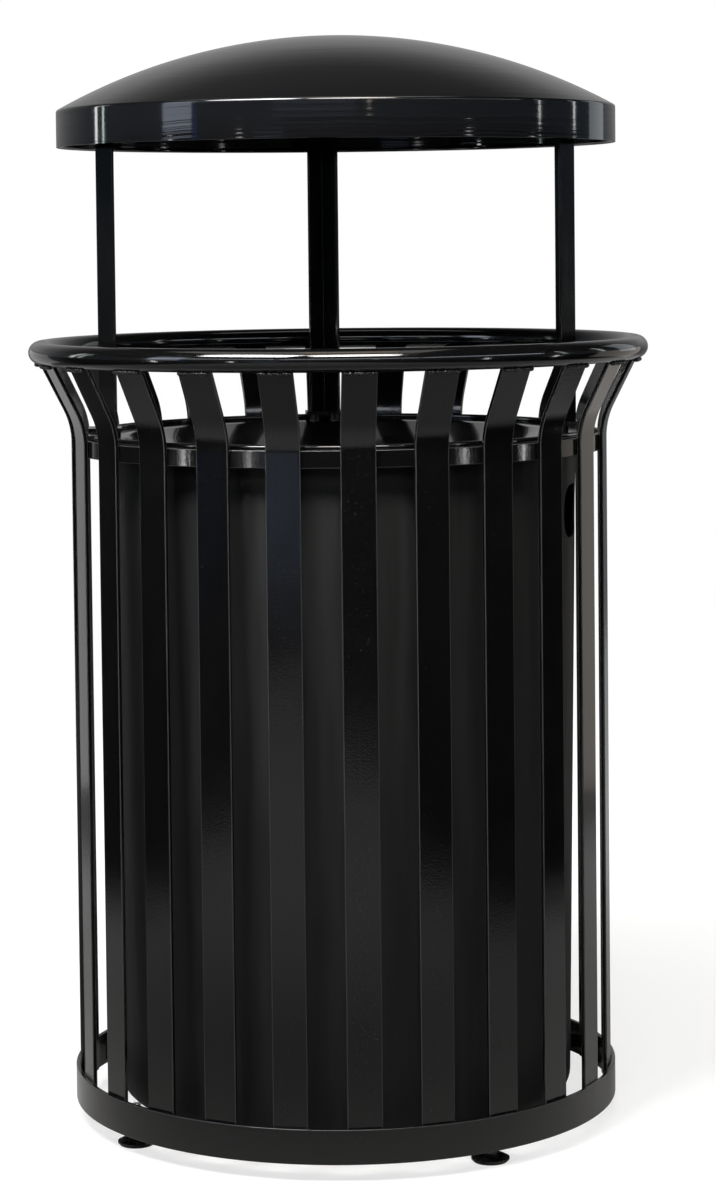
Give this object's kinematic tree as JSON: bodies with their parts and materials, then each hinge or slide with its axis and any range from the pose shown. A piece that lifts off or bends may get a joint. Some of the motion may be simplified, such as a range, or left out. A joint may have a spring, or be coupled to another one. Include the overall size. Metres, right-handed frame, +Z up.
{
  "type": "street litter bin",
  "caption": "Round steel litter bin with upright slats flared to a tube rim, a lift-out liner, and a funnel lid under a domed rain bonnet on posts.",
  "frame": {"origin": "on the floor, on the bin's upright axis", "axes": "+Z up along the bin's axis; the front, where no post stands, faces -Y"},
  "size_m": [0.7111, 0.7112, 1.239],
  "materials": {
    "gloss_coat": "gloss black powder coat on steel",
    "liner_plastic": "matte black moulded polyethylene",
    "foot_plastic": "black moulded nylon",
    "zinc_steel": "zinc-plated steel"
  },
  "bodies": {
    "frame": {"top_ring": "gloss_coat", "slat_01": "gloss_coat", "slat_02": "gloss_coat", "slat_03": "gloss_coat", "slat_04": "gloss_coat", "slat_05": "gloss_coat", "slat_06": "gloss_coat", "slat_07": "gloss_coat", "slat_08": "gloss_coat", "slat_09": "gloss_coat", "slat_10": "gloss_coat", "slat_11": "gloss_coat", "slat_12": "gloss_coat", "slat_13": "gloss_coat", "slat_14": "gloss_coat", "slat_15": "gloss_coat", "slat_16": "gloss_coat", "slat_17": "gloss_coat", "slat_18": "gloss_coat", "slat_19": "gloss_coat", "slat_20": "gloss_coat", "slat_21": "gloss_coat", "slat_22": "gloss_coat", "slat_23": "gloss_coat", "slat_24": "gloss_coat", "slat_welds": "gloss_coat", "support_band": "gloss_coat", "base_hoop": "gloss_coat", "floor_strap": "gloss_coat", "floor_strap_left": "gloss_coat", "floor_strap_right": "gloss_coat", "foot_weld_nuts": "zinc_steel", "foot_lock_nuts": "zinc_steel"},
    "foot_1": {"foot_pad_1": "foot_plastic", "foot_stem_1": "zinc_steel"},
    "foot_2": {"foot_pad_2": "foot_plastic", "foot_stem_2": "zinc_steel"},
    "foot_3": {"foot_pad_3": "foot_plastic", "foot_stem_3": "zinc_steel"},
    "foot_4": {"foot_pad_4": "foot_plastic", "foot_stem_4": "zinc_steel"},
    "liner": {"liner": "liner_plastic"},
    "lid": {"lid_rim": "gloss_coat", "lid_pan": "gloss_coat", "lid_collar": "gloss_coat", "post_left": "gloss_coat", "post_right": "gloss_coat", "post_back": "gloss_coat", "post_foot_left": "gloss_coat", "post_foot_right": "gloss_coat", "post_foot_back": "gloss_coat", "post_head_left": "gloss_coat", "post_head_right": "gloss_coat", "post_head_back": "gloss_coat", "post_foot_screws": "zinc_steel", "bonnet_studs": "zinc_steel", "bonnet_nuts": "zinc_steel", "bonnet": "gloss_coat", "bonnet_hem": "gloss_coat"}
  },
  "joints": [
    {"name": "foot_1_adjust", "type": "slide", "parent": "frame", "child": "foot_1", "axis": [0, 0, -1], "range_m": [0, 0.012]},
    {"name": "foot_2_adjust", "type": "slide", "parent": "frame", "child": "foot_2", "axis": [0, 0, -1], "range_m": [0, 0.012]},
    {"name": "foot_3_adjust", "type": "slide", "parent": "frame", "child": "foot_3", "axis": [0, 0, -1], "range_m": [0, 0.012]},
    {"name": "foot_4_adjust", "type": "slide", "parent": "frame", "child": "foot_4", "axis": [0, 0, -1], "range_m": [0, 0.012]},
    {"name": "liner_lift", "type": "slide", "parent": "frame", "child": "liner", "axis": [0, 0, 1], "range_m": [0, 0.9]},
    {"name": "lid_lift", "type": "slide", "parent": "liner", "child": "lid", "axis": [0, 0, 1], "range_m": [0, 0.25]}
  ]
}
